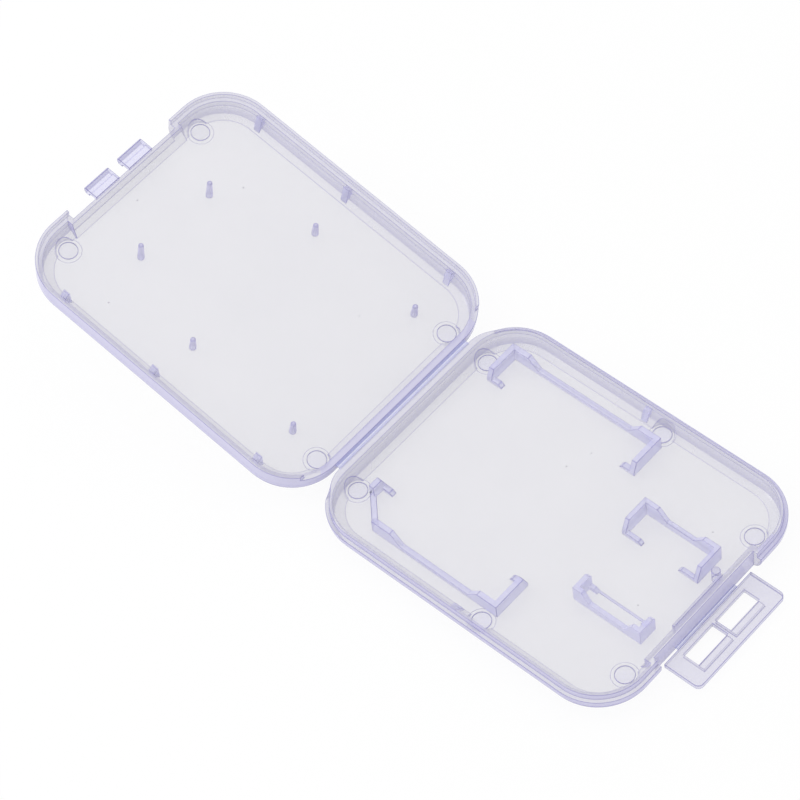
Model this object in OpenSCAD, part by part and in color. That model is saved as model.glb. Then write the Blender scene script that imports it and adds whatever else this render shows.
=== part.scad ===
// Memory card case, lying open: tray, lid and latch flap joined by two living hinges.
// It holds one full-size card (24 x 32 mm) and one small card (11 x 15 mm).
// X runs along the main hinge, Y from the latch to the lid, Z up.
// The origin is the centre of the tray's underside.

/* [Case] */
// room between the full-size card's guides and the side walls
side_room = 3.22; // [3:0.01:6]
// room between the hinge wall and the full-size card's guides
hinge_room = 3.88; // [3.7:0.01:6]
// room between the guides of the two cards
pocket_gap = 4.52; // [1:0.01:8]
// room between the small card's guides and the recessed front wall
front_room = 2.74; // [2.6:0.01:6]
// plan radius of the four corners
corner_radius = 8; // [5:0.5:10]
// radius along the bottom edge, outside
edge_radius = 2.2; // [1:0.1:2.6]
// thickness of the flat floor of each half
floor_thickness = 1.0; // [0.8:0.05:1.4]
// thickness of the side walls
wall_thickness = 1.05; // [0.9:0.05:1.4]
// how far the slope between wall and floor reaches in, inside
foot_slope = 1.5; // [0.8:0.1:2]
// height of that slope
foot_rise = 1.7; // [0.8:0.1:2.2]
// depth of the tray from rim to floor
tray_depth = 2.6; // [2.4:0.1:4]
// depth of the lid from parting plane to floor
lid_depth = 2.8; // [2.6:0.1:4]
// gap between the two rims when the case is shut
rim_gap = 0.05; // [0:0.01:0.2]

/* [Rim step] */
// height of the lid's outer lip, which laps over the tray's rim
lip_height = 0.8; // [0.4:0.1:1.2]
// thickness of the lid's outer lip
lip_thickness = 0.45; // [0.3:0.05:0.6]
// clearance between the lip and the step it closes over
lip_clearance = 0.15; // [0.08:0.01:0.3]
// clearance between the lip's end and the floor of the step
lip_end_clearance = 0.1; // [0.05:0.01:0.3]
// distance from the hinge line at which the lip ends
lip_end = 2.2; // [1.5:0.1:4]
// how much nearer to the hinge line the tray's step begins
step_lead = 0.3; // [0.1:0.1:0.6]

/* [Main hinge] */
// distance between the two hinge walls with the case lying flat
hinge_gap = 0.8; // [0.6:0.1:1.6]
// length of the hinge web along the hinge line
hinge_web_length = 26.6; // [20:0.1:27]
// thickness of the web where it meets the walls
hinge_web_root = 0.4; // [0.25:0.01:0.6]
// thickness of the web along its fold line
hinge_web_fold = 0.22; // [0.15:0.01:0.4]
// depth of the web's upper face below the parting plane
hinge_web_drop = 0.1; // [0.05:0.01:0.3]
// how far the lid stands up from flat in the rest pose, in degrees
lid_rest_angle = 13.4; // [0:0.1:30]

/* [Front recess and latch] */
// width of the recess in both front walls
recess_width = 20.6; // [19:0.1:24]
// depth of the recess behind the front wall's outer face
recess_depth = 1.25; // [0.9:0.05:1.6]
// thickness of the front wall inside the recess
recess_wall = 0.9; // [0.6:0.05:1.2]
// thickness of the lid's recessed wall at its top, from where it slopes to its foot
recess_top = 0.6; // [0.5:0.05:0.9]
// width of the flat tongue on the inside of the recessed wall
tongue_width = 10.1; // [8:0.1:14]
// thickness of that tongue
tongue_thickness = 0.4; // [0.1:0.05:0.6]
// width of the latch flap
flap_width = 18.1; // [16:0.1:19]
// thickness of the latch flap
flap_thickness = 0.8; // [0.6:0.05:1.2]
// distance from the latch fold line to the flap's free edge
flap_reach = 6.1; // [5.5:0.1:6.6]
// distance from the latch fold line to the flap's inner edge
flap_root = 0.25; // [0.15:0.05:0.6]
// corner radius of the flap's free edge
flap_corner = 0.9; // [0.3:0.1:2]
// width of each latch window
window_width = 5.95; // [5.2:0.05:6.5]
// width of the bar between the two windows
window_bar = 0.7; // [0.5:0.05:1.5]
// distance from the fold line to the near side of the windows
window_near = 1.3; // [1:0.05:2]
// distance from the fold line to the far side of the windows
window_far = 4.7; // [3.5:0.05:5]
// width of the thinned ledge along the far side of each window, which the hooks snap behind
window_ledge = 0.9; // [0.6:0.1:1.2]
// thickness of that ledge
ledge_thickness = 0.35; // [0.25:0.05:0.5]
// length of the latch hinge web along its fold line
latch_web_length = 12.3; // [8:0.1:17]
// thickness of the latch hinge web
latch_web_thickness = 0.3; // [0.2:0.05:0.5]

/* [Latch hooks] */
// width of each hook
hook_width = 4.7; // [3.5:0.1:5.4]
// distance between the centre lines of the two hooks
hook_spacing = 6.65; // [6:0.05:7.5]
// how far each hook stands out from the recessed wall
hook_reach = 2.5; // [1.8:0.1:2.8]
// thickness of the hook's arm
hook_arm = 0.7; // [0.5:0.05:0.75]
// depth of the barb at the hook's end, below the arm
hook_barb = 0.5; // [0.3:0.05:0.7]
// depth of the arm's upper face below the parting plane
hook_drop = 0.1; // [0.05:0.01:0.3]
// chamfer on the upper edge of the hook's end
hook_chamfer = 0.25; // [0.1:0.05:0.4]
// length of the barb where it leaves the arm
barb_length = 1.1; // [0.6:0.05:1.2]
// how far the barb's outer face leans in
barb_lean = 0.3; // [0.1:0.05:0.5]

/* [Full-size card pocket] */
// length of the card, along the hinge
card_length = 32.0; // [32:0.1:32]
// width of the card
card_width = 24.0; // [24:0.1:24]
// play around the card on each side
card_play = 0.28; // [0.1:0.01:0.5]
// thickness of the guide walls
guide_wall = 0.85; // [0.6:0.05:1.2]
// height of the guide walls at the corners of the card
guide_tall = 2.4; // [1.8:0.1:3]
// height of the guide walls between the corners
guide_low = 0.7; // [0.4:0.1:1.5]
// length of the tall part along the card's short side, and of the slope next to it
guide_corner = 2.5; // [1.5:0.1:5]
// length of the slope between the tall and the low part
guide_slope = 1.7; // [0.5:0.1:3]
// how far each short wall of the right guide reaches along the card's long side
guide_return = 5.05; // [2:0.05:6]
// how far the short wall of the left guide reaches along the card's long side
guide_return_left = 5.5; // [2:0.05:6]
// length of the low rests under the card's corners
rest_length = 1.75; // [1:0.05:3]
// length of the slope at the end of the rests
rest_slope = 0.5; // [0.2:0.05:0.8]
// height of the end of the rests, below their slope
rest_toe = 0.15; // [0.1:0.05:0.25]
// height of the low rests
rest_height = 0.65; // [0.3:0.05:0.7]
// length of the slope between a short wall and its rest
guide_fall = 0.7; // [0.3:0.05:1.5]
// length of the short wall beside the cut corner
chamfer_return = 2.1; // [1.5:0.05:4]
// size of the card's cut corner
card_chamfer = 3.6; // [3:0.1:4.5]

/* [Small card pocket] */
// length of the small card, along the hinge
micro_length = 15.0; // [15:0.1:15]
// width of the small card
micro_width = 11.0; // [11:0.1:11]
// play around the small card on each side
micro_play = 0.25; // [0.1:0.01:0.5]
// thickness of the small guide walls
micro_wall = 0.7; // [0.5:0.05:1]
// height of the small guide walls at the corners
micro_tall = 2.85; // [2:0.05:3.2]
// height of the small guide walls between the corners
micro_low = 1.1; // [0.5:0.1:1.6]
// length of the right guide's tall part along the small card's short side
micro_corner = 1.9; // [1:0.1:3]
// length of the right guide's slope between its tall and its low part
micro_slope = 1.6; // [0.5:0.1:2]
// length of the left guide's tall part along the small card's short side
micro_corner_left = 1.5; // [1:0.1:3]
// length of the left guide's slope between its tall and its low part
micro_slope_left = 1.2; // [0.5:0.1:2]
// how far each short wall of the right guide reaches along the card
micro_return = 3.7; // [2:0.05:5]
// how far each short wall of the left guide reaches along the card
micro_return_left = 2.4; // [1.5:0.05:5]
// length of the slope at the end of the right guide's short walls
micro_fall = 0.9; // [0.3:0.05:1.5]
// length and depth of the slope at the end of the left guide's short walls
micro_fall_left = 0.5; // [0.3:0.05:0.9]
// length of the rests under the small card, on the right guide
micro_rest = 2.65; // [1:0.05:3.2]
// length of the rests under the small card, on the left guide
micro_rest_left = 1.3; // [0.8:0.05:2]
// width of the thin line of plastic between the left guide's rests
sill_width = 0.35; // [0.2:0.05:0.6]
// height of that line
sill_height = 0.2; // [0.1:0.05:0.4]
// setback of the left guide's hinge side, for the card's narrow end
micro_step = 1.5; // [0:0.1:2]
// sideways offset of the small card's centre
micro_offset = -0.24; // [-1:0.01:1]

/* [Hold-down pins] */
// radius of the pins at their foot
pin_foot = 0.55; // [0.4:0.01:0.8]
// radius of the pins at their tip
pin_tip = 0.38; // [0.25:0.01:0.6]
// length of the four pins over the full-size card
card_pin_length = 2.6; // [2:0.05:3.4]
// length of the two pins over the small card
micro_pin_length = 3.7; // [3:0.05:4.4]
// distance of the full-size card's pins from the ends of the card
card_pin_inset = 3.4; // [1:0.1:8]
// distance of the pins near the hinge from the card's edge
card_pin_near = 2.34; // [1:0.01:8]
// distance of the pins near the latch from the card's edge
card_pin_far = 2.9; // [1:0.01:8]
// distance of the small card's pins from the ends of the card
micro_pin_inset = 0.5; // [0.3:0.1:4]

/* [Ribs and pads] */
// width of the gussets between floor and side wall
rib_width = 0.8; // [0.5:0.05:1]
// how far the gussets' feet reach in from the side wall
rib_foot = 1.4; // [0.8:0.1:2]
// height of the tray's gussets
tray_rib_height = 2.0; // [1:0.1:2.4]
// how far the lid's gussets stand above its rim, to locate it in the tray
lid_rib_rise = 0.55; // [0.2:0.05:0.8]
// offset of the tray's gussets from the middle of the side wall, towards the hinge
tray_rib_offset = 0.2; // [-5:0.1:5]
// offset of the lid's middle gussets from the middle of the side wall, away from the hinge
lid_rib_offset = 0.95; // [0.9:0.05:6]
// distance of the lid's first gussets from its hinge wall
lid_rib_first = 8.35; // [7:0.05:14]
// distance of the lid's last gussets from its front wall
lid_rib_last = 9.0; // [7:0.05:14]
// radius of the round ejector pads
pad_radius = 1.4; // [1:0.05:1.5]
// distance of the corner pads from the outer face of the side walls
pad_side = 7.9; // [6:0.1:9]
// distance of the corner pads near the hinge from the outer face of the hinge wall
pad_end = 3.1; // [2.9:0.05:3.4]
// distance of the tray's pads near the latch from the outer face of the front wall
tray_pad_front = 3.6; // [3.4:0.05:4]
// distance of the lid's pads near the latch from the outer face of the front wall
lid_pad_front = 3.3; // [3:0.05:4]
// distance of the tray's middle pads from the guides' outer faces
mid_pad_side = 1.66; // [1.6:0.01:1.8]
// distance of the tray's middle pads from its gussets
mid_pad_row = 2.95; // [2.5:0.05:4]
// height of the round ejector pads
pad_height = 0.22; // [0.1:0.01:0.4]
// radius of the round relief cut into the wall's foot around each pad
relief_radius = 1.75; // [1.4:0.05:2]
// height of that relief
relief_height = 1.5; // [0.5:0.1:2]
// radius of the ejector boss beside the front wall
boss_radius = 0.85; // [0.5:0.05:1.2]
// sideways position of the ejector boss
boss_side = 5.2; // [-8:0.1:8]
// clearance between the boss and the tongue
boss_clearance = 0.05; // [0.02:0.01:0.2]
// height of the ejector boss
boss_height = 2.2; // [1:0.1:2.6]

/* [Hidden] */
eps = 0.01;
round_fn = 96;
card_u = card_length / 2 + card_play;
card_v = card_width / 2 + card_play;
micro_u = micro_length / 2 + micro_play;
micro_v = micro_width / 2 + micro_play;
// the case is sized around the cards: distances from the hinge line, towards the latch
card_centre = hinge_gap / 2 + wall_thickness + hinge_room + guide_wall + card_v;
micro_centre = card_centre + card_v + guide_wall + pocket_gap + micro_wall + micro_v;
recess_inner = micro_centre + micro_v + micro_wall + front_room;
recess_face = recess_inner + recess_wall;
front = recess_face + recess_depth;
case_length = front - hinge_gap / 2;
case_width = 2 * (card_u + guide_wall + side_room + wall_thickness);
hinge_y = case_length / 2 + hinge_gap / 2;
hinge_z = floor_thickness + tray_depth;
latch_d = recess_face + flap_root;
latch_z = flap_thickness - latch_web_thickness / 2;
half_width = case_width / 2;
step_inset = lip_thickness + lip_clearance;
step_z = hinge_z - lip_height - lip_end_clearance;
tray_rib_row = hinge_y - tray_rib_offset;
lid_rib_rows = [hinge_gap / 2 + lid_rib_first, hinge_y + lid_rib_offset, front - lid_rib_last];
card_pin_rows = [card_centre - card_width / 2 + card_pin_near, card_centre + card_width / 2 - card_pin_far];
micro_pin_sides = [micro_offset - micro_length / 2 + micro_pin_inset,
    micro_offset + micro_length / 2 - micro_pin_inset];
// places of the ejector pads: sideways position and distance from the hinge line
pad_u = half_width - pad_side;
pad_near = hinge_gap / 2 + pad_end;
mid_u = card_u + guide_wall + mid_pad_side;
mid_row = tray_rib_row + rib_width / 2 + mid_pad_row;
tray_pads = [for (u = [-pad_u, pad_u], d = [pad_near, front - tray_pad_front]) [u, d],
    for (u = [-mid_u, mid_u]) [u, mid_row]];
lid_pads = [for (u = [-pad_u, pad_u], d = [pad_near, front - lid_pad_front]) [u, d]];
clear_blue = [0.86, 0.86, 0.93];

// Frames.

// Tray features are placed by sideways position, distance from the hinge line and height above the floor.
module in_tray(u, d, h) {
    translate([u, hinge_y - d, floor_thickness + h]) children();
}

// The lid is drawn lying flat beyond the hinge line, with its parting plane at zero height.
module in_lid() {
    translate([0, hinge_y, hinge_z])
        rotate([lid_rest_angle, 0, 0]) children();
}

// Shapes.

// Section of a rounded bottom edge: r out from the corner's centre, e the edge radius, h the height.
module edge_section(r, e, h) {
    translate([0, e]) square([r, h - e]);
    square([r - e, e + eps]);
    intersection() {
        translate([r - e, e]) circle(r = e, $fn = round_fn);
        translate([r - e, 0]) square([e, e]);
    }
}

// Section of a sloped foot: r out from the corner's centre, h the height.
module foot_section(r, h) {
    polygon([[0, 0], [r - foot_slope, 0], [r, foot_rise], [r, h], [0, h]]);
}

// Solid with rounded corners in plan, centred on X and Y. Its child is the section of its edge,
// from the corner's centre outwards, in the plane of a wall.
module tub(w, l, r, h) {
    sx = w / 2 - r;
    sy = l / 2 - r;
    for (q = [[1, 1, 0], [-1, 1, 90], [-1, -1, 180], [1, -1, 270]])
        translate([q[0] * sx, q[1] * sy, 0])
            rotate([0, 0, q[2]])
                rotate_extrude(angle = 90, $fn = round_fn) children();
    for (s = [0, 180]) {
        rotate([0, 0, s])
            translate([sx, sy, 0])
                rotate([90, 0, 0])
                    linear_extrude(height = 2 * sy) children();
        rotate([0, 0, s + 90])
            translate([sy, sx, 0])
                rotate([90, 0, 0])
                    linear_extrude(height = 2 * sx) children();
    }
    translate([-sx, -sy, 0]) cube([2 * sx, 2 * sy, h]);
}

// Rounded rectangle in plan.
module plan(w, l, r) {
    square([w - 2 * r, l], center = true);
    square([w, l - 2 * r], center = true);
    for (x = [-1, 1], y = [-1, 1])
        translate([x * (w / 2 - r), y * (l / 2 - r)]) circle(r = r, $fn = round_fn);
}

// Block that thickens the front wall inwards behind the recess, with a sloped foot.
// Drawn in the half's own frame, front wall towards +Y, floor at zero height. inset is how far
// the wall's top lies behind the foot's upper end, rise the height at which the slope ends.
module recess_block(h, inset, rise) {
    foot = recess_wall * 2 / 3;
    back = 2 * (recess_depth + recess_wall);
    inner_y = recess_inner - front + case_length / 2;
    rotate([90, 0, 90])
        linear_extrude(height = recess_width + 2 * recess_wall, center = true)
            polygon([
                [inner_y - foot, -eps],
                [inner_y - foot, 0],
                [inner_y + inset, rise],
                [inner_y + inset, h + eps],
                [inner_y + back, h + eps],
                [inner_y + back, -eps]
            ]);
}

// Hollow of one half above its floor, h high, front wall towards +Y.
module hollow(h, pads, inset, rise) {
    inner_r = corner_radius - wall_thickness;
    difference() {
        union() {
            tub(case_width - 2 * wall_thickness, case_length - 2 * wall_thickness, inner_r, h)
                foot_section(inner_r, h);
            for (p = pads)
                translate([p[0], p[1] - hinge_gap / 2 - case_length / 2, 0])
                    cylinder(r = relief_radius, h = relief_height, $fn = round_fn);
        }
        recess_block(h + 1, inset, rise);
    }
}

// Recess in the outside of the front wall, through the full height.
module recess_cut(h) {
    translate([-recess_width / 2, case_length / 2 - recess_depth, -1])
        cube([recess_width, recess_depth + 1, h + 2]);
}

// Gusset sections against the wall on the right: u from the case's centre line.
module tray_rib_section() {
    wall = half_width - wall_thickness;
    h = tray_rib_height;
    f = rib_foot;
    polygon([
        [wall + wall_thickness / 2, -eps],
        [wall + wall_thickness / 2, h],
        [wall - f * 0.25, h],
        [wall - f * 0.55, h * 0.87],
        [wall - f * 0.8, h * 0.6],
        [wall - f, h * 0.08],
        [wall - f, -eps]
    ]);
}

// The lid's gussets stand above its rim and lean in, so that they find their way into the tray.
module lid_rib_section() {
    wall = half_width - wall_thickness;
    h = lid_depth + lid_rib_rise;
    f = rib_foot * 0.9;
    polygon([
        [wall + wall_thickness / 2, -eps],
        [wall + wall_thickness / 2, lid_depth - rim_gap],
        [wall, lid_depth - rim_gap],
        [wall - f * 0.5, h],
        [wall - f * 0.68, h],
        [wall - f, h * 0.06],
        [wall - f, -eps]
    ]);
}

module rib_blank(side) {
    mirror([side < 0 ? 1 : 0, 0, 0])
        rotate([90, 0, 0])
            linear_extrude(height = rib_width, center = true) children();
}

// Tray.

// The tray's hollow, turned so that its front wall faces the latch.
module tray_hollow(h) {
    translate([0, 0, floor_thickness])
        rotate([0, 0, 180]) hollow(h, [for (p = tray_pads) [-p[0], p[1]]], 0, recess_wall);
}

// Step outside the rim that the lid's lip closes over.
module rim_step() {
    difference() {
        translate([-half_width - 1, -case_length / 2 - 1, step_z])
            cube([case_width + 2, case_length + 1 - lip_end + step_lead + hinge_gap / 2, tray_depth]);
        translate([0, 0, step_z - 1])
            linear_extrude(height = tray_depth + 2)
                plan(case_width - 2 * step_inset, case_length - 2 * step_inset, corner_radius - step_inset);
    }
}

module tray_shell() {
    color(clear_blue)
        difference() {
            tub(case_width, case_length, corner_radius, hinge_z)
                edge_section(corner_radius, edge_radius, hinge_z);
            tray_hollow(tray_depth + 1);
            rotate([0, 0, 180]) recess_cut(hinge_z);
            rim_step();
        }
}

// Wall of a guide along the card's short side, with tall ends and a low middle.
// Runs along Y from y0 to y1, its inner face at x = 0 and its body towards +X.
module guide_side(y0, y1, t, tall, low, end, slope) {
    rotate([90, 0, 90])
        linear_extrude(height = t)
            polygon([
                [y0, 0],
                [y0, tall],
                [y0 + end, tall],
                [y0 + end + slope, low],
                [y1 - end - slope, low],
                [y1 - end, tall],
                [y1, tall],
                [y1, 0]
            ]);
}

// Short wall of a guide along the card's long side: full height, then sloping down to its rest.
// Starts at x = 0 and runs towards -X for reach, its inner face at y = 0 and its body towards +Y.
module guide_end(reach, t, tall, low, slope) {
    rotate([90, 0, 0])
        translate([0, 0, -t])
            linear_extrude(height = t)
                polygon([
                    [0, 0],
                    [0, tall],
                    [-reach + slope, tall],
                    [-reach, low],
                    [-reach, 0]
                ]);
}

// Low rest under a corner of the card, running along -Y from y = 0 with a sloped end.
module corner_rest(len, t, h) {
    rotate([90, 0, 90])
        linear_extrude(height = t)
            polygon([
                [0, 0],
                [0, h],
                [-len + rest_slope, h],
                [-len, rest_toe],
                [-len, 0]
            ]);
}

// One C-shaped guide: inner faces at x = 0 and y = +-v, open towards -X.
module card_guide(v, t, tall, low, end, slope, reach, rest, rest_h, fall) {
    guide_side(-v - t, v + t, t, tall, low, end + t, slope);
    for (m = [0, 1])
        mirror([0, m, 0])
            translate([0, v, 0]) {
                guide_end(reach + t, t, tall, rest_h, fall);
                translate([-reach - t, 0, 0]) corner_rest(rest, t, rest_h);
            }
}

module sd_guide_right() {
    color(clear_blue)
        in_tray(card_u, card_centre, 0)
            card_guide(card_v, guide_wall, guide_tall, guide_low, guide_corner, guide_slope,
                guide_return - guide_wall, rest_length, rest_height, guide_fall);
}

// The left guide follows the card's cut corner on its hinge side.
module sd_guide_left() {
    c = card_chamfer;
    v = card_v;
    t = guide_wall;
    k = t * tan(22.5);
    block = chamfer_return;
    color(clear_blue)
        in_tray(-card_u, card_centre, 0) {
            mirror([1, 0, 0]) {
                difference() {
                    guide_side(-v - t, v - c + k, t, guide_tall, guide_low, guide_corner + t, guide_slope);
                    translate([0, v - c, -1]) rotate([0, 0, 45]) cube([c, c, guide_tall + 2]);
                }
                mirror([0, 1, 0])
                    translate([0, v, 0]) {
                        guide_end(guide_return_left, t, guide_tall, rest_height, guide_fall);
                        translate([-guide_return_left, 0, 0]) corner_rest(rest_length, t, rest_height);
                    }
            }
            // low wall along the cut corner
            linear_extrude(height = guide_low)
                polygon([
                    [0, v - c],
                    [c, v],
                    [c + k, v + t],
                    [c - k, v + t],
                    [-t, v - c + k],
                    [-t, v - c - k],
                    [0, v - c - k]
                ]);
            // short tall block beside the cut corner
            translate([c, v, 0])
                rotate([90, 0, 0])
                    translate([0, 0, -t])
                        linear_extrude(height = t)
                            polygon([
                                [-k, 0],
                                [-k, guide_tall],
                                [block - guide_fall, guide_tall],
                                [block, rest_height],
                                [block, 0]
                            ]);
            translate([c + block - t, v, 0]) corner_rest(rest_length, t, rest_height);
        }
}

module micro_guide_right() {
    color(clear_blue)
        in_tray(micro_offset + micro_u, micro_centre, 0)
            card_guide(micro_v, micro_wall, micro_tall, micro_low, micro_corner, micro_slope,
                micro_return, micro_rest, rest_height, micro_fall);
}

// The left guide is set back on its hinge side, for the card's narrow end. A thin sill joins its rests.
module micro_guide_left() {
    v = micro_v;
    t = micro_wall;
    s = micro_step;
    low = micro_tall - micro_fall_left;
    reach = micro_return_left;
    color(clear_blue)
        in_tray(micro_offset - micro_u, micro_centre, 0)
            mirror([1, 0, 0]) {
                guide_side(-v - t, v + t - s, t, micro_tall, micro_low, micro_corner_left, micro_slope_left);
                translate([0, v - s, 0]) {
                    guide_end(reach, t, micro_tall, low, micro_fall_left);
                    translate([-reach, 0, 0]) corner_rest(micro_rest_left, t, rest_height);
                }
                mirror([0, 1, 0])
                    translate([0, v, 0]) {
                        guide_end(reach, t, micro_tall, low, micro_fall_left);
                        translate([-reach, 0, 0]) corner_rest(micro_rest_left, t, rest_height);
                    }
                translate([-reach, -v, 0]) cube([sill_width, 2 * v - s, sill_height]);
            }
}

module tray_rib_left() {
    color(clear_blue)
        intersection() {
            in_tray(0, tray_rib_row, 0) rib_blank(-1) tray_rib_section();
            tray_hollow(tray_depth);
        }
}

module tray_rib_right() {
    color(clear_blue)
        intersection() {
            in_tray(0, tray_rib_row, 0) rib_blank(1) tray_rib_section();
            tray_hollow(tray_depth);
        }
}

module tray_ejector_pads() {
    color(clear_blue)
        for (p = tray_pads)
            in_tray(p[0], p[1], 0) cylinder(r = pad_radius, h = pad_height, $fn = round_fn);
}

// Flat tongue that stiffens the recessed wall on its inside.
module front_tongue() {
    color(clear_blue)
        intersection() {
            translate([-tongue_width / 2, hinge_y - recess_inner, floor_thickness])
                cube([tongue_width, tongue_thickness, tray_depth]);
            tray_hollow(tray_depth);
        }
}

// Ejector boss behind the recessed wall.
module ejector_boss() {
    color(clear_blue)
        in_tray(boss_side, recess_inner - tongue_thickness - boss_radius - boss_clearance, 0)
            cylinder(r = boss_radius, h = boss_height, $fn = round_fn);
}

// Lid.

// The lid's hollow above its floor. Its recessed wall is thinner at the top and slopes to its foot.
module lid_inside(h) {
    hollow(h, lid_pads, recess_wall - recess_top, lid_depth - rim_gap);
}

// The lid's hollow in the lid's frame.
module lid_hollow(h) {
    translate([0, hinge_y, -lid_depth]) lid_inside(h);
}

// The lid stands on its rim step: above the parting plane only the outer lip is left.
module lid_shell() {
    body_h = floor_thickness + lid_depth - rim_gap;
    color(clear_blue)
        in_lid()
            translate([0, hinge_y, -floor_thickness - lid_depth])
                difference() {
                    tub(case_width, case_length, corner_radius, body_h + lip_height + rim_gap)
                        edge_section(corner_radius, edge_radius, body_h + lip_height + rim_gap);
                    translate([0, 0, floor_thickness]) lid_inside(lid_depth);
                    translate([0, 0, body_h])
                        linear_extrude(height = 3)
                            plan(case_width - 2 * lip_thickness, case_length - 2 * lip_thickness,
                                corner_radius - lip_thickness);
                    translate([-half_width - 1, -case_length / 2 - 1, body_h])
                        cube([case_width + 2, lip_end + 1 - hinge_gap / 2, 3]);
                    recess_cut(body_h + 2);
                }
}

module hold_down_pin(len) {
    cylinder(r1 = pin_foot, r2 = pin_tip, h = len, $fn = 48);
}

module sd_pins() {
    color(clear_blue)
        in_lid()
            for (s = [-1, 1], row = card_pin_rows)
                translate([s * (card_length / 2 - card_pin_inset), row, -lid_depth]) hold_down_pin(card_pin_length);
}

module micro_pins() {
    color(clear_blue)
        in_lid()
            for (u = micro_pin_sides)
                translate([u, micro_centre, -lid_depth]) hold_down_pin(micro_pin_length);
}

module lid_ribs(side) {
    color(clear_blue)
        in_lid()
            intersection() {
                for (row = lid_rib_rows)
                    translate([0, row, -lid_depth]) rib_blank(side) lid_rib_section();
                lid_hollow(lid_depth + lid_rib_rise);
            }
}

module lid_ribs_left() {
    lid_ribs(-1);
}

module lid_ribs_right() {
    lid_ribs(1);
}

module lid_ejector_pads() {
    color(clear_blue)
        in_lid()
            for (p = lid_pads)
                translate([p[0], p[1], -lid_depth])
                    cylinder(r = pad_radius, h = pad_height, $fn = round_fn);
}

// Hook on the recessed front wall of the lid: an arm with a barb below its end.
module latch_hook(side) {
    top = -hook_drop;
    low = top - hook_arm;
    color(clear_blue)
        in_lid()
            translate([side * hook_spacing / 2 - hook_width / 2, recess_face, 0])
                rotate([90, 0, 90])
                    linear_extrude(height = hook_width)
                        polygon([
                            [0, top],
                            [hook_reach - hook_chamfer, top],
                            [hook_reach, top - hook_chamfer],
                            [hook_reach, low],
                            [hook_reach - barb_lean, low - hook_barb],
                            [hook_reach - barb_length, low - hook_barb],
                            [hook_reach - barb_length, low],
                            [0, low]
                        ]);
}

module latch_hook_left() {
    latch_hook(-1);
}

module latch_hook_right() {
    latch_hook(1);
}

// Latch flap and hinges.

module flap_plan() {
    w = flap_width / 2;
    r = flap_corner;
    translate([-w, flap_root]) square([2 * w, flap_reach - flap_root - r]);
    translate([-w + r, flap_root]) square([2 * (w - r), flap_reach - flap_root]);
    for (s = [-1, 1])
        translate([s * (w - r), flap_reach - r]) circle(r = r, $fn = round_fn);
}

// Drawn with the fold line on X and the flap reaching towards +Y, then turned towards the latch side.
module latch_flap() {
    color(clear_blue)
        translate([0, hinge_y - latch_d, 0])
            rotate([0, 0, 180])
                difference() {
                    linear_extrude(height = flap_thickness) flap_plan();
                    for (s = [-1, 1])
                        translate([s * (window_bar + window_width) / 2, 0, 0]) {
                            translate([-window_width / 2, window_near, -1])
                                cube([window_width, window_far - window_ledge - window_near, flap_thickness + 2]);
                            translate([-window_width / 2, window_far - window_ledge - eps, -1])
                                cube([window_width, window_ledge + eps, flap_thickness - ledge_thickness + 1]);
                        }
                }
}

module latch_hinge_web() {
    color(clear_blue)
        translate([-latch_web_length / 2, hinge_y - recess_face - flap_root * 2,
            flap_thickness - latch_web_thickness])
            cube([latch_web_length, flap_root * 2, latch_web_thickness]);
}

// Web between the two hinge walls, thinned along its fold line.
module lid_hinge_web() {
    g = hinge_gap / 2;
    a = lid_rest_angle;
    top = -hinge_web_drop;
    low = top - hinge_web_root;
    mid = (top + low) / 2;
    f = hinge_web_fold / 2;
    color(clear_blue)
        translate([0, hinge_y, hinge_z])
            rotate([90, 0, 90])
                linear_extrude(height = hinge_web_length, center = true)
                    polygon([
                        [-g, top],
                        [-g, low],
                        [0, mid - f],
                        [g * cos(a) - low * sin(a), g * sin(a) + low * cos(a)],
                        [g * cos(a) - top * sin(a), g * sin(a) + top * cos(a)],
                        [0, mid + f]
                    ]);
}

// Nodes.

tray_shell();
sd_guide_left();
sd_guide_right();
micro_guide_left();
micro_guide_right();
tray_rib_left();
tray_rib_right();
tray_ejector_pads();
front_tongue();
ejector_boss();
lid_shell();
sd_pins();
micro_pins();
lid_ribs_left();
lid_ribs_right();
lid_ejector_pads();
latch_hook_left();
latch_hook_right();
latch_flap();
lid_hinge_web();
latch_hinge_web();
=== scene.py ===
# %% [markdown]
# A card case of clear plastic, lying open.
# The real object is one injection moulding of polypropylene: a tray, a lid and a small latch flap,
# joined by two webs that are thin enough to fold. The CAD frame already holds every rigid form in
# true size, so Blender's work is the finish: soft moulded edges, clear milky plastic, the two webs
# that bend, the light and the camera.
# All lengths are metres. X runs along the main hinge, Y from the latch to the lid, Z up.

# %% Load the frame
import math

import bpy
from mathutils import Matrix, Vector


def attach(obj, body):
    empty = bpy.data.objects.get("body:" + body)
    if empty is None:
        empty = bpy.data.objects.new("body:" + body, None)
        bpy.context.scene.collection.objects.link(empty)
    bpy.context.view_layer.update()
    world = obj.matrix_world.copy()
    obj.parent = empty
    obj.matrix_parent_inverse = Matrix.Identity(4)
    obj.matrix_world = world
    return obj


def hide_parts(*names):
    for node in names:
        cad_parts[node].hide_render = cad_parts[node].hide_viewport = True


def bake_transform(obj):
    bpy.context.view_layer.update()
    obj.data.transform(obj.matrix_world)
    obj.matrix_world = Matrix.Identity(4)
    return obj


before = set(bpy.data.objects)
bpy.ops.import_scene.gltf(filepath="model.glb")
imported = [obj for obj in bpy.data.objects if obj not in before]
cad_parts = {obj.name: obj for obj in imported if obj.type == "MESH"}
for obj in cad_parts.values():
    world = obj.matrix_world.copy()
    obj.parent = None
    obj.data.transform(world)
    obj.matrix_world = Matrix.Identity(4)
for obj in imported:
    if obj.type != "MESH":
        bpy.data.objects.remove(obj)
scene = bpy.context.scene
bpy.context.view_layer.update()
mm = 0.001

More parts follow.
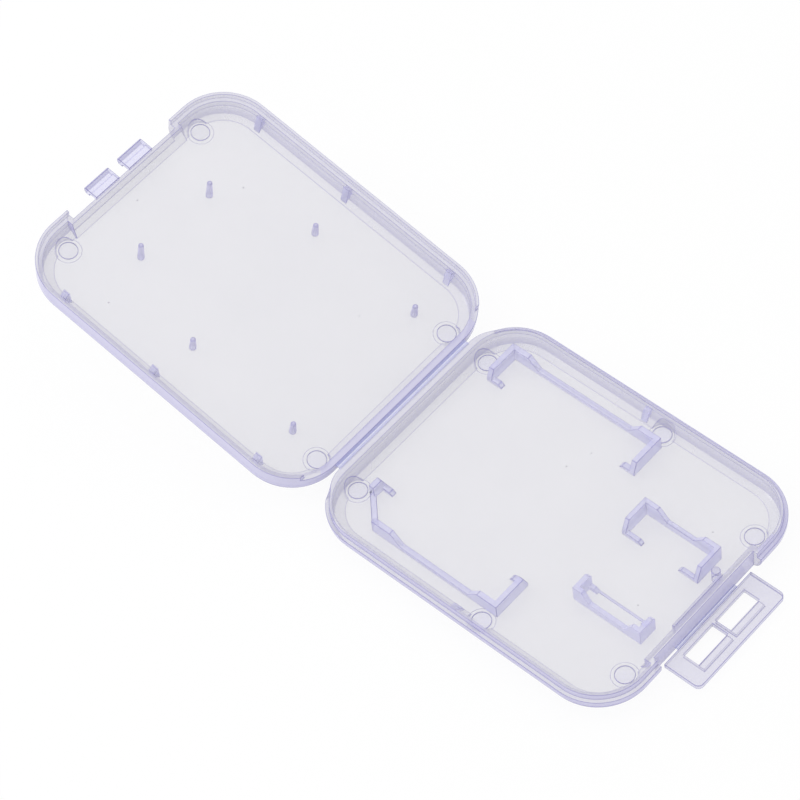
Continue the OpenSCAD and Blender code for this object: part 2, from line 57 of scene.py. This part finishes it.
# %% [markdown]
# The camera stands where the photographer stood: above the latch side, a long lens looking down at
# about 54 degrees, and turned a little about its own axis. Direction, distance and lens were solved
# together from the known size of the two card pockets, so the perspective is the photograph's own.

# %% Camera
azimuth, elevation, roll = map(math.radians, (-40.226, 53.902, -9.935))
aim = Vector((1.319, 29.21, 1.0)) * mm
distance = 0.4483
back = Vector(
    (
        math.sin(azimuth) * math.cos(elevation),
        -math.cos(azimuth) * math.cos(elevation),
        math.sin(elevation),
    )
)
level = Vector((0, 0, 1)).cross(back).normalized()
upright = back.cross(level)
right = level * math.cos(roll) + upright * math.sin(roll)
up = upright * math.cos(roll) - level * math.sin(roll)
camera_turn = Matrix((right, up, back)).transposed().to_4x4()

camera_data = bpy.data.cameras.new("photo_camera")
camera_data.sensor_width = 36
camera_data.lens = 145.95
camera_data.clip_start, camera_data.clip_end = 0.01, 10
camera = bpy.data.objects.new("photo_camera", camera_data)
scene.collection.objects.link(camera)
camera.matrix_world = Matrix.Translation(aim + back * distance) @ camera_turn
scene.camera = camera
print("camera stands at, mm:", [round(v / mm, 1) for v in camera.matrix_world.translation])

# %% [markdown]
# Clear polypropylene isn't glass. It is slightly milky, so each skin of it keeps a little of the
# light and lets the rest through straight, and where the light runs along a wall or round an edge
# it takes on a faint violet. A refracting glass shader would be the obvious choice, but walls a
# millimetre thick hardly bend what is behind them, and its many inner reflections end in black.
# So each skin gets an opacity instead: low on the flat floors, higher on walls and slopes, highest
# on the small moulded radii, and rising where it is seen at a shallow angle.


# %% Helpers: shader nodes
def add(tree, kind, **settings):
    """A new node with its settings, given by name: operation, data_type and so on."""
    node = tree.nodes.new(kind)
    for key, value in settings.items():
        setattr(node, key, value)
    return node


def feed(tree, socket, value):
    """Puts a number, a colour or another node's output on a socket."""
    if isinstance(value, bpy.types.NodeSocket):
        tree.links.new(value, socket)
    else:
        socket.default_value = value


def math_of(tree, operation, *values):
    """A Math node's result for one, two or three values."""
    node = add(tree, "ShaderNodeMath", operation=operation)
    for socket, value in zip(node.inputs, values):
        feed(tree, socket, value)
    return node.outputs[0]


def blend_of(tree, kind, share, first, second):
    """A Mix node's result between two numbers (FLOAT) or two colours (RGBA)."""
    node = add(tree, "ShaderNodeMix", data_type=kind)
    first_slot, second_slot, result = {"FLOAT": (2, 3, 0), "RGBA": (6, 7, 2)}[kind]
    feed(tree, node.inputs[0], share)
    feed(tree, node.inputs[first_slot], first)
    feed(tree, node.inputs[second_slot], second)
    return node.outputs[result]


def texture(tree, kind, place, **inputs):
    """A texture node on the given place, with its inputs by name: Scale, Detail."""
    node = add(tree, kind)
    feed(tree, node.inputs["Vector"], place)
    for name, value in inputs.items():
        node.inputs[name].default_value = value
    return node


def mark_of(tree, name):
    """The value of an attribute that the piece carries."""
    return add(tree, "ShaderNodeAttribute", attribute_name=name).outputs["Fac"]


# %% [markdown]
# What all the plastics share is one node group. It reads two attributes that the pieces carry:
# depth, 0 on a flat floor and 1 on a wall, and edge, 1 on a moulded radius. Over them lie three
# small things that a clear moulding has: soft clouds where the plastic ran into the mould, a fine
# ripple of the skin, and here and there a grain of dust. A grain is a small round spot in its own
# cell of a Voronoi pattern, and about one cell in eight has one.

# %% Shared node group: milky skin
cloud_scale, ripple_scale, speck_scale = 90, 900, 260  # cells in a metre
speck_radius, speck_rarity = 0.045, 0.88  # of a cell's width; the share of cells without a speck
speck_colour, speck_opacity = (0.40, 0.38, 0.46, 1), 0.2
least_roughness, cloud_roughness = 0.06, 0.22


def milky_skin_group():
    """The group: colour, opacity, roughness and height of a skin of clear plastic."""
    group = bpy.data.node_groups.new("milky_skin", "ShaderNodeTree")
    sockets = group.interface
    for name, kind in (
        ("Flat Colour", "NodeSocketColor"),
        ("Wall Colour", "NodeSocketColor"),
        ("Edge Colour", "NodeSocketColor"),
        ("Flat Opacity", "NodeSocketFloat"),
        ("Wall Opacity", "NodeSocketFloat"),
        ("Edge Opacity", "NodeSocketFloat"),
        ("Haze", "NodeSocketFloat"),
    ):
        sockets.new_socket(name, in_out="INPUT", socket_type=kind)
    for name, kind in (
        ("Colour", "NodeSocketColor"),
        ("Opacity", "NodeSocketFloat"),
        ("Roughness", "NodeSocketFloat"),
        ("Height", "NodeSocketFloat"),
    ):
        sockets.new_socket(name, in_out="OUTPUT", socket_type=kind)
    given = group.nodes.new("NodeGroupInput").outputs
    result = group.nodes.new("NodeGroupOutput").inputs
    place = add(group, "ShaderNodeTexCoord").outputs["Object"]
    depth, edge = mark_of(group, "depth"), mark_of(group, "edge")

    clouds = texture(group, "ShaderNodeTexNoise", place, Scale=cloud_scale, Detail=3).outputs["Fac"]
    ripple = texture(group, "ShaderNodeTexNoise", place, Scale=ripple_scale, Detail=2)
    cells = texture(group, "ShaderNodeTexVoronoi", place, Scale=speck_scale)
    near = math_of(group, "LESS_THAN", cells.outputs["Distance"], speck_radius)
    draw = add(group, "ShaderNodeSeparateColor")
    feed(group, draw.inputs[0], cells.outputs["Color"])
    chosen = math_of(group, "GREATER_THAN", draw.outputs[0], speck_rarity)
    speck = math_of(group, "MULTIPLY", near, chosen)

    colour = blend_of(group, "RGBA", depth, given["Flat Colour"], given["Wall Colour"])
    colour = blend_of(group, "RGBA", edge, colour, given["Edge Colour"])
    feed(group, result["Colour"], blend_of(group, "RGBA", speck, colour, speck_colour))

    opacity = blend_of(group, "FLOAT", depth, given["Flat Opacity"], given["Wall Opacity"])
    opacity = blend_of(group, "FLOAT", edge, opacity, given["Edge Opacity"])
    drift = math_of(group, "MULTIPLY", math_of(group, "SUBTRACT", clouds, 0.5), given["Haze"])
    opacity = math_of(group, "ADD", opacity, drift)
    opacity = math_of(group, "MULTIPLY_ADD", speck, speck_opacity, opacity)
    feed(group, result["Opacity"], opacity)

    roughness = math_of(group, "MULTIPLY_ADD", clouds, cloud_roughness, least_roughness)
    feed(group, result["Roughness"], roughness)
    feed(group, result["Height"], ripple.outputs["Fac"])
    return group


milky_skin = milky_skin_group()
print("milky_skin has", len(milky_skin.nodes), "nodes")

# %% [markdown]
# Each plastic places the group with its own values. Three things stay in the material itself. Layer
# Weight raises the opacity where a skin turns away from the eye, as the light then runs a long way
# inside it. Backfacing lowers it where the eye meets a wall's skin from within the plastic, because
# in the photograph the walls that are seen from inside the case look much clearer than the others.
# Light Path does two small jobs. What such a skin keeps back it mostly sends on forwards, so a ray
# that asks for shadow meets only a fifth of it. And a skin that lies behind seven others is closed
# and given a painted glow, an emission that stands in for the light that would reach it, because a
# renderer follows a ray through eight skins at most and would show black there.

# %% The plastics
refraction = 1.49
ripple_strength, ripple_height = 0.15, 0.00002
shallow_power, shallow_gain = 3.0, 0.7  # how the opacity grows as a skin turns away
shadow_relief = 0.8  # the share of its opacity that a shadow ray doesn't meet
last_open_skin = 6.5  # Transparent Depth counts the skins that a ray has passed
# the second colour is painted light: the glow of a closed skin, in place of the light that can't
# reach it
black, closed_painted_light = (0, 0, 0, 1), (0.5, 0.48, 0.66, 1)


def clear_plastic(name, flat, wall, edge, opacities, haze, behind=0.0):
    """flat, wall and edge are colours, opacities the share of light that each of them keeps, and
    haze how much the clouds change it. behind is the part of its opacity that a wall's skin loses
    when it is seen from within."""
    material = bpy.data.materials.new(name)
    material.use_nodes = True
    tree = material.node_tree
    shader = tree.nodes["Principled BSDF"]
    shader.inputs["IOR"].default_value = refraction
    skin = add(tree, "ShaderNodeGroup", node_tree=milky_skin)
    for socket, value in zip(skin.inputs, [(*flat, 1), (*wall, 1), (*edge, 1), *opacities, haze]):
        socket.default_value = value
    feed(tree, shader.inputs["Base Color"], skin.outputs["Colour"])
    feed(tree, shader.inputs["Roughness"], skin.outputs["Roughness"])
    bump = add(tree, "ShaderNodeBump")
    bump.inputs["Strength"].default_value = ripple_strength
    bump.inputs["Distance"].default_value = ripple_height
    feed(tree, bump.inputs["Height"], skin.outputs["Height"])
    feed(tree, shader.inputs["Normal"], bump.outputs["Normal"])

    turned_away = add(tree, "ShaderNodeLayerWeight")
    turned_away.inputs["Blend"].default_value = 0.5
    shallow = math_of(tree, "POWER", turned_away.outputs["Facing"], shallow_power)
    shallow = math_of(tree, "MULTIPLY", shallow, shallow_gain)
    kept = skin.outputs["Opacity"]
    opacity = math_of(tree, "MULTIPLY_ADD", math_of(tree, "SUBTRACT", 1.0, kept), shallow, kept)

    backfacing = add(tree, "ShaderNodeNewGeometry").outputs["Backfacing"]
    within = math_of(tree, "MULTIPLY", backfacing, mark_of(tree, "depth"))
    from_within = math_of(tree, "MULTIPLY_ADD", within, -behind, 1.0)
    opacity = math_of(tree, "MULTIPLY", opacity, from_within)

    path = add(tree, "ShaderNodeLightPath").outputs
    for_shadow = math_of(tree, "MULTIPLY_ADD", path["Is Shadow Ray"], -shadow_relief, 1.0)
    opacity = math_of(tree, "MULTIPLY", opacity, for_shadow)
    closed = math_of(tree, "GREATER_THAN", path["Transparent Depth"], last_open_skin)
    feed(tree, shader.inputs["Alpha"], math_of(tree, "MAXIMUM", opacity, closed))
    # painted light: a closed skin turns opaque and glows with the closed skin's colour instead of
    # showing black
    shader.inputs["Emission Strength"].default_value = 1
    painted_glow = blend_of(tree, "RGBA", closed, black, closed_painted_light)
    feed(tree, shader.inputs["Emission Color"], painted_glow)
    return material


pale, violet, deep = (0.62, 0.61, 0.69), (0.58, 0.56, 0.80), (0.30, 0.28, 0.56)
bright, dark = (0.74, 0.73, 0.96), (0.26, 0.24, 0.50)
lilac, dusky = (0.60, 0.58, 0.76), (0.66, 0.64, 0.88)
# the second colour is the drawn fold's own whitening and also a painted highlight along the fold
bluish, fold_white_and_highlight = (0.50, 0.52, 0.86), (0.92, 0.93, 1.0)
# the numbers are the opacities of flat, wall and edge, and the haze
moulded = clear_plastic(
    "moulded_polypropylene", pale, violet, deep, (0.26, 0.80, 0.82), 0.05, behind=0.65
)
guide_plastic = clear_plastic("guide_polypropylene", bright, bright, dark, (0.40, 0.46, 0.80), 0.05)
pin_plastic = clear_plastic("pin_polypropylene", dusky, dusky, dark, (0.40, 0.48, 0.80), 0.05)
flap_plastic = clear_plastic("flap_polypropylene", lilac, violet, deep, (0.30, 0.40, 0.80), 0.05)
web_plastic = clear_plastic("drawn_web_with_highlight", bluish, fold_white_and_highlight, deep, (0.38, 0.7, 0.75), 0.1)
polished = clear_plastic("polished_pad", violet, violet, deep, (0.03, 0.20, 0.65), 0.03)
plastics = (moulded, guide_plastic, pin_plastic, flap_plastic, web_plastic, polished)
print("plastics:", [plastic.name for plastic in plastics])

# %% [markdown]
# The frame's solids meet edge to edge with knife-sharp corners, and a moulding has none: the cutter
# that made the mould left a small radius everywhere. Each node is copied, its loose triangles are
# merged, flat areas are cleaned up, and the sharp edges are bevelled. A feature that stands on a
# floor or wall is also pressed into it by a fiftieth of a millimetre, because light must pass from
# one to the other as in one piece of plastic, and two faces in the same place would stop it.

# %% Helpers: the lid's own frame
hinge = Vector((0, 27.15, 3.6)) * mm
rest_angle = math.radians(13.4)
lid_turn = Matrix.Rotation(rest_angle, 3, "X")
# height of the lid's floor below the hinge, and of the tray's floor above the table
lid_floor, tray_floor = 2.8 * mm, 1.0 * mm


def turn_of(body):
    """How a body lies in the frame: the lid leans back, the others lie flat."""
    return lid_turn if body == "lid" else Matrix.Identity(3)


def local_point(point, body):
    """The point as seen by the body: a lid's point is turned back to lie flat, its floor at 0."""
    if body == "lid":
        flat = lid_turn.inverted() @ (point - hinge)
        return Vector((flat.x, flat.y, flat.z + lid_floor))
    floor_height = 0.0 if body == "flap" else tray_floor
    return Vector((point.x, point.y, point.z - floor_height))


print("the lid leans by", round(math.degrees(rest_angle), 1), "degrees")

# %% [markdown]
# Which face is a floor, a wall or a radius is read from the direction of its normal, and for the
# last one from the bevel that made it. As the photograph shows them, a wall's inner side counts for
# less than its outer one, the lid's thin recessed wall for less again, and the round foot of an
# outer wall almost as much as a radius.

# %% Helpers: marks on a skin
# depth is 0 where a normal rises by more than flat_lift, and 1 where it rises slope_span less
flat_lift, slope_span = 0.98, 0.6
# a level face that stands this high is the top of a wall, or the ledge on which the lip laps
level_lift, top_height, top_depth = 0.9, 1.2 * mm, 0.9
# the lid's recessed wall: half its width, where it begins, and what it counts for
recess_half, recess_from, recess_share = 10.5 * mm, 49.5 * mm, 0.4
# what a wall's inner side counts for, and the round foot of an outer wall
inner_share = 0.33
foot_low, foot_high, foot_edge = -0.85, -0.2, 0.8


def mark_skin(piece, body, strips, outer, inner):
    """Writes the attributes depth and edge. strips are the faces of moulded radii: outer is what
    one counts for, and inner the same for an inner corner, whose neighbours stand above it."""
    mesh = piece.data
    turned_back = turn_of(body).inverted()
    xs, ys = [point.co.x for point in mesh.vertices], [point.co.y for point in mesh.vertices]
    middle = Vector(((min(xs) + max(xs)) / 2, (min(ys) + max(ys)) / 2))
    depth = mesh.attributes.new("depth", "FLOAT", "FACE")
    edge = mesh.attributes.new("edge", "FLOAT", "FACE")
    for face in mesh.polygons:
        lift = (turned_back @ face.normal).z
        place = local_point(face.center, body)
        outward = (face.center.xy - middle).dot(face.normal.xy) > 0
        steep = max(0.0, min(1.0, (flat_lift - abs(lift)) / slope_span))
        if body != "flap" and lift > level_lift and place.z > top_height:
            steep = top_depth
        if body == "lid" and abs(place.x) < recess_half and place.y > recess_from:
            steep *= recess_share
        depth.data[face.index].value = steep if outward else steep * inner_share
        if outward and foot_low < lift < foot_high:
            edge.data[face.index].value = foot_edge * outer
    bevelled = set(strips)
    by_edge = {}
    for face in mesh.polygons:
        for key in face.edge_keys:
            by_edge.setdefault(key, []).append(face)
    for index in strips:
        face = mesh.polygons[index]
        beside = [other for key in face.edge_keys for other in by_edge[key]]
        around = [other for other in beside if other.index not in bevelled]
        rise = sum((other.center - face.center).dot(face.normal) for other in around)
        edge.data[index].value = inner if rise > 0 else outer


# %% Helpers: soft moulded copies
press = 0.02 * mm
same_place = 1e-6
same_plane, sharp_edge, smooth_edge = map(math.radians, (0.5, 35, 30))
foot_height = 0.03 * mm


def on_floor(a, b):
    """True for an edge at a feature's foot."""
    return a.z < foot_height and b.z < foot_height


def soft_copy(
    node,
    body,
    radius,
    push=(0, 0, 0),
    rows=2,
    keep=None,
    plastic=moulded,
    reshape=None,
    outer=1.0,
    inner=0.5,
):
    """A copy of a CAD node with rounded edges. push is the direction in which it is pressed home;
    keep(a, b) says whether the edge between two local points stays sharp; reshape(mesh) may move
    points before the edges are rounded; outer and inner go to mark_skin."""
    name = node + "_moulded"
    piece = bpy.data.objects.new(name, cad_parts[node].data.copy())
    mesh = piece.data
    scene.collection.objects.link(piece)
    mesh.materials.clear()
    mesh.materials.append(plastic)
    bpy.ops.object.select_all(action="DESELECT")
    piece.select_set(True)
    bpy.context.view_layer.objects.active = piece
    bpy.ops.object.mode_set(mode="EDIT")
    bpy.ops.mesh.select_all(action="SELECT")
    bpy.ops.mesh.remove_doubles(threshold=same_place)
    if reshape:
        bpy.ops.object.mode_set(mode="OBJECT")
        reshape(mesh)
        bpy.ops.object.mode_set(mode="EDIT")
        bpy.ops.mesh.select_all(action="SELECT")
        bpy.ops.mesh.remove_doubles(threshold=same_place)
    bpy.ops.mesh.dissolve_limited(angle_limit=same_plane)
    bpy.ops.mesh.select_all(action="DESELECT")
    bpy.ops.mesh.select_mode(type="EDGE")
    bpy.ops.mesh.edges_select_sharp(sharpness=sharp_edge)
    bpy.ops.object.mode_set(mode="OBJECT")
    for edge in mesh.edges:
        a, b = (local_point(mesh.vertices[v].co, body) for v in edge.vertices)
        if edge.select and keep and keep(a, b):
            edge.select = False
    # the bevel's faces get a second material slot, which tells them apart until they are listed
    bpy.ops.object.mode_set(mode="EDIT")
    mesh.materials.append(plastic)
    bpy.ops.mesh.bevel(offset=radius, segments=rows, affect="EDGES", clamp_overlap=True, material=1)
    bpy.ops.object.mode_set(mode="OBJECT")
    strips = [face.index for face in mesh.polygons if face.material_index == 1]
    for face in mesh.polygons:
        face.material_index = 0
    mesh.materials.pop(index=1)
    bpy.ops.object.shade_smooth_by_angle(angle=smooth_edge)
    weighted = piece.modifiers.new("large_faces_stay_flat", "WEIGHTED_NORMAL")
    weighted.keep_sharp = True
    bpy.ops.object.modifier_apply(modifier=weighted.name)
    mark_skin(piece, body, strips, outer, inner)
    piece.data.transform(Matrix.Translation(turn_of(body) @ (Vector(push) * press)))
    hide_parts(node)
    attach(piece, body)
    print(name, len(piece.data.vertices), "points")


# %% [markdown]
# The two shells come first. Their rims, the step round the tray and the lip round the lid are what
# catches the light, so these edges get a radius of about a tenth of a millimetre.
# The step ends at the tray's corners near the hinge. There the full rim is thinned towards it, so
# that the two run into each other and no thin spike is left between them.


# %% Shells and latch flap
def run_out_step(mesh):
    """Thins the tray's full rim towards the place on each hinge corner where the step begins."""
    corner_x, corner_y, radius, step = 13.4 * mm, 18.75 * mm, 8.0 * mm, 0.6 * mm
    end_y, top = 25.25 * mm, 3.6 * mm
    below_top, within_rim, slack = 0.05 * mm, 0.1 * mm, 0.01 * mm
    begins = math.acos((end_y - corner_y) / radius)
    meets = math.acos((end_y - corner_y) / (radius - step))
    for point in mesh.vertices:
        x, y = abs(point.co.x) - corner_x, point.co.y - corner_y
        if point.co.z < top - below_top or math.hypot(x, y) < radius - within_rim:
            continue
        if x < slack or point.co.y < end_y - slack:
            continue
        share = math.atan2(x, y) / begins
        turn, reach = share * meets, radius - step * share**2
        point.co.x = math.copysign(corner_x + reach * math.sin(turn), point.co.x)
        point.co.y = corner_y + reach * math.cos(turn)


soft_copy("tray_shell", "tray", 0.12 * mm, reshape=run_out_step)
soft_copy("lid_shell", "lid", 0.12 * mm)
soft_copy("latch_flap", "flap", 0.1 * mm, plastic=flap_plastic)

# %% [markdown]
# The guides hold the cards by their corners. Pads, pins, gussets, tongue and boss are moulded on in
# the same way, each on its floor or wall. Two of them get a small correction in plan that the
# photograph shows: the gussets are a little thicker than the frame's, and the boss is slimmer.
# Round each pad stands a thin ring, the witness of the sleeve that guides the ejector pin. It is a
# torus, flattened, on the middle of every pad, and half of it lies in the floor.

# %% Helpers: scale in plan, witness rings
solids_apart, pad_reach = 3 * mm, 4 * mm
ring_spread, ring_bead, ring_flatness, ring_edge = 1.36, 0.06 * mm, 0.6, 0.28


def scale_in_plan(body, across, along):
    """A reshape that scales each separate solid of a node about its own middle, by across in X and
    by along in the direction of Y on the body's floor."""
    turned = turn_of(body)

    def reshape(mesh):
        flat = [(turned.inverted() @ point.co, point) for point in mesh.vertices]
        flat.sort(key=lambda pair: pair[0].y)
        groups = [[flat[0]]]
        for pair in flat[1:]:
            if pair[0].y - groups[-1][-1][0].y > solids_apart:
                groups.append([])
            groups[-1].append(pair)
        for group in groups:
            xs, ys = [pair[0].x for pair in group], [pair[0].y for pair in group]
            middle_x, middle_y = (min(xs) + max(xs)) / 2, (min(ys) + max(ys)) / 2
            for place, point in group:
                place.x = middle_x + (place.x - middle_x) * across
                place.y = middle_y + (place.y - middle_y) * along
                point.co = turned @ place

    return reshape


def witness_rings(name, node, body):
    """Thin rings round the pads of a node."""
    turned = turn_of(body)
    pads = []
    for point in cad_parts[node].data.vertices:
        place = turned.inverted() @ point.co
        for pad in pads:
            if (pad[0] - place).length < pad_reach:
                pad.append(place)
                break
        else:
            pads.append([place])
    bpy.ops.object.select_all(action="DESELECT")
    flattened = Matrix.Diagonal((1, 1, ring_flatness, 1))
    rings = []
    for pad in pads:
        lows = [min(place[axis] for place in pad) for axis in range(3)]
        highs = [max(place[axis] for place in pad) for axis in range(3)]
        middle = Vector(((lows[0] + highs[0]) / 2, (lows[1] + highs[1]) / 2, lows[2]))
        bpy.ops.mesh.primitive_torus_add(
            major_segments=72,
            minor_segments=8,
            major_radius=(highs[0] - lows[0]) / 2 * ring_spread,
            minor_radius=ring_bead,
        )
        ring = bpy.context.object
        ring.data.transform(turned.to_4x4() @ Matrix.Translation(middle) @ flattened)
        rings.append(ring)
    for ring in rings:
        ring.select_set(True)
    bpy.ops.object.join()
    piece = bpy.context.object
    piece.name = piece.data.name = name
    piece.data.materials.append(polished)
    bpy.ops.object.shade_smooth()
    for kind, value in (("depth", 0.0), ("edge", ring_edge)):
        marks = piece.data.attributes.new(kind, "FLOAT", "FACE")
        marks.data.foreach_set("value", [value] * len(piece.data.polygons))
    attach(piece, body)
    print(name, "has", len(rings), "rings")


# %% Features of the tray
on_tray = {"body": "tray", "push": (0, 0, -1), "keep": on_floor}
for node in ("sd_guide_left", "sd_guide_right", "micro_guide_left", "micro_guide_right"):
    soft_copy(node, radius=0.1 * mm, plastic=guide_plastic, outer=0.9, inner=0.15, **on_tray)
for node, side in (("tray_rib_left", -1), ("tray_rib_right", 1)):
    soft_copy(
        node,
        "tray",
        0.06 * mm,
        push=(side, 0, -1),
        keep=on_floor,
        plastic=guide_plastic,
        reshape=scale_in_plan("tray", 1, 1.25),
    )
soft_copy("tray_ejector_pads", radius=0.08 * mm, plastic=polished, **on_tray)


def at_tongue_root(a, b):
    """True for an edge of the tongue on the floor or against the front wall."""
    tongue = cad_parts["front_tongue"].data
    wall = min(point.co.y for point in tongue.vertices) + 0.05 * mm
    return on_floor(a, b) or (a.y < wall and b.y < wall)


soft_copy("front_tongue", "tray", 0.08 * mm, push=(0, -1, -1), keep=at_tongue_root)
slimmer = scale_in_plan("tray", 0.75, 0.75)
soft_copy("ejector_boss", radius=0.1 * mm, plastic=polished, reshape=slimmer, **on_tray)
witness_rings("tray_pad_rings", "tray_ejector_pads", "tray")

# %% Features of the lid
on_lid = {"body": "lid", "push": (0, 0, -1), "keep": on_floor}
for node in ("sd_pins", "micro_pins"):
    soft_copy(node, radius=0.22 * mm, rows=4, plastic=pin_plastic, outer=0.6, **on_lid)
for node, side in (("lid_ribs_left", -1), ("lid_ribs_right", 1)):
    soft_copy(
        node,
        "lid",
        0.06 * mm,
        push=(side, 0, -1),
        keep=on_floor,
        plastic=guide_plastic,
        reshape=scale_in_plan("lid", 1, 1.3),
    )
soft_copy("lid_ejector_pads", radius=0.08 * mm, plastic=polished, **on_lid)
witness_rings("lid_pad_rings", "lid_ejector_pads", "lid")
hook_root = 52.66 * mm


def at_wall(a, b):
    """True for an edge at a hook's root."""
    return a.y < hook_root and b.y < hook_root


for node in ("latch_hook_left", "latch_hook_right"):
    soft_copy(node, "lid", 0.1 * mm, push=(0, -1, 0), keep=at_wall, plastic=guide_plastic)

# %% [markdown]
# The two living hinges are webs a few tenths of a millimetre thick, thinnest along the fold. Along
# the fold the plastic is drawn and turns white, and the same white stripe is a painted highlight
# that stands in for the glint along the fold; its depth attribute says where.

# %% Hinge webs
# the width of the fold's white stripe, whitened plastic and painted highlight both
web_rows, white_fold_highlight_width = 12, 0.12 * mm


def web(name, length, start, end, mid_height, root, fold, tilt, columns):
    """A bar along X from y = start to y = end, both measured from the fold line, with half its
    thickness at the ends (root) and at the fold (fold). Past the fold it leans up by tilt."""
    bpy.ops.object.select_all(action="DESELECT")
    bpy.ops.mesh.primitive_grid_add(x_subdivisions=columns, y_subdivisions=web_rows, size=1)
    piece = bpy.context.object
    piece.name = piece.data.name = name
    bpy.ops.object.mode_set(mode="EDIT")
    bpy.ops.mesh.select_all(action="SELECT")
    bpy.ops.mesh.extrude_region_move(TRANSFORM_OT_translate={"value": (0, 0, 1)})
    bpy.ops.mesh.select_all(action="SELECT")
    bpy.ops.mesh.normals_make_consistent(inside=False)
    bpy.ops.object.mode_set(mode="OBJECT")
    for point in piece.data.vertices:
        x, side = point.co.x * length, point.co.z * 2 - 1
        y = start + (point.co.y + 0.5) * (end - start)
        reach = abs(y) / max(abs(start), abs(end))
        z = mid_height + side * (fold + (root - fold) * min(1.0, reach) ** 1.5)
        if y > 0 and tilt:
            y, z = (
                y * math.cos(tilt) - z * math.sin(tilt),
                y * math.sin(tilt) + z * math.cos(tilt),
            )
        point.co = (x, y, z)
    # on a web, depth marks the white stripe along the fold: whitened plastic and a painted
    # highlight
    depth = piece.data.attributes.new("depth", "FLOAT", "POINT")
    piece.data.attributes.new("edge", "FLOAT", "FACE")
    for point, share in zip(piece.data.vertices, depth.data):
        share.value = max(0.0, 1.0 - abs(point.co.y) / white_fold_highlight_width)
    piece.data.materials.append(web_plastic)
    bpy.ops.object.shade_smooth_by_angle(angle=math.radians(40))
    print(name, len(piece.data.vertices), "points")
    return piece


gap = 0.4 * mm
main_web = web(
    "main_hinge_web",
    length=26.6 * mm,
    start=-gap - press,
    end=gap + press,
    mid_height=-0.3 * mm,
    root=0.2 * mm,
    fold=0.11 * mm,
    tilt=rest_angle,
    columns=48,
)
main_web.data.transform(Matrix.Translation(hinge))
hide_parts("lid_hinge_web")
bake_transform(main_web)

fold_line = Vector((0, -25.75, 0.65)) * mm
half_gap = 0.25 * mm
latch_web = web(
    "latch_fold_web",
    length=12.3 * mm,
    start=-half_gap - press,
    end=half_gap + press,
    mid_height=0,
    root=0.15 * mm,
    fold=0.09 * mm,
    tilt=0,
    columns=24,
)
latch_web.data.transform(Matrix.Translation(fold_line))
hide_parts("latch_hinge_web")
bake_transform(latch_web)

# %% [markdown]
# The photograph was taken on a white table, so everything round the case is white, and clear
# plastic shows mostly what is behind it. The floor is a plain pale plane. To the eye it is mostly
# plain white, and the rest is an ordinary matte surface that keeps the case's shadow. The world
# is white to the eye too, and lights the case a little less than that, to leave room for one soft
# lamp.

# %% Floor, world and lamp
floor_white, world_light, world_white = 0.9, 0.86, 0.14


def eye_share(tree, share):
    """share for what the eye sees, straight, mirrored or through plastic, and 0 for all else."""
    path = add(tree, "ShaderNodeLightPath").outputs
    seen = math_of(tree, "MAXIMUM", path["Is Camera Ray"], path["Is Transmission Ray"])
    return math_of(tree, "MULTIPLY", math_of(tree, "MAXIMUM", seen, path["Is Glossy Ray"]), share)


bpy.ops.object.select_all(action="DESELECT")
bpy.ops.mesh.primitive_plane_add(size=3, location=(0, 0, -0.4 * mm))
floor = bpy.context.object
floor.name = "floor"
floor_look = bpy.data.materials.new("pale_floor")
floor_look.use_nodes = True
tree = floor_look.node_tree
matte = tree.nodes["Principled BSDF"]
matte.inputs["Base Color"].default_value = (0.97, 0.97, 0.97, 1)
matte.inputs["Roughness"].default_value = 0.9
matte.inputs["Specular IOR Level"].default_value = 0.1
white = add(tree, "ShaderNodeEmission")
mix = add(tree, "ShaderNodeMixShader")
feed(tree, mix.inputs[0], eye_share(tree, floor_white))
feed(tree, mix.inputs[1], matte.outputs[0])
feed(tree, mix.inputs[2], white.outputs[0])
feed(tree, tree.nodes["Material Output"].inputs["Surface"], mix.outputs[0])
floor.data.materials.append(floor_look)

world = bpy.data.worlds.new("studio")
world.use_nodes = True
tree = world.node_tree
sky = tree.nodes["Background"]
sky.inputs["Color"].default_value = (1, 1, 1, 1)
brightness = math_of(tree, "ADD", eye_share(tree, world_white), world_light)
feed(tree, sky.inputs["Strength"], brightness)
scene.world = world

lamp_data = bpy.data.lights.new("soft_lamp", "AREA")
lamp_data.shape = "SQUARE"
lamp_data.size = 0.15
lamp_data.energy = 0.8
lamp = bpy.data.objects.new("soft_lamp", lamp_data)
scene.collection.objects.link(lamp)
lamp_place = Vector((-0.25, 0.35, 0.45))
lamp_turn = (aim - lamp_place).to_track_quat("-Z", "Y").to_matrix().to_4x4()
lamp.matrix_world = Matrix.Translation(lamp_place) @ lamp_turn
scene.view_settings.view_transform = "Standard"
print("stage:", floor.name, world.name, lamp.name)
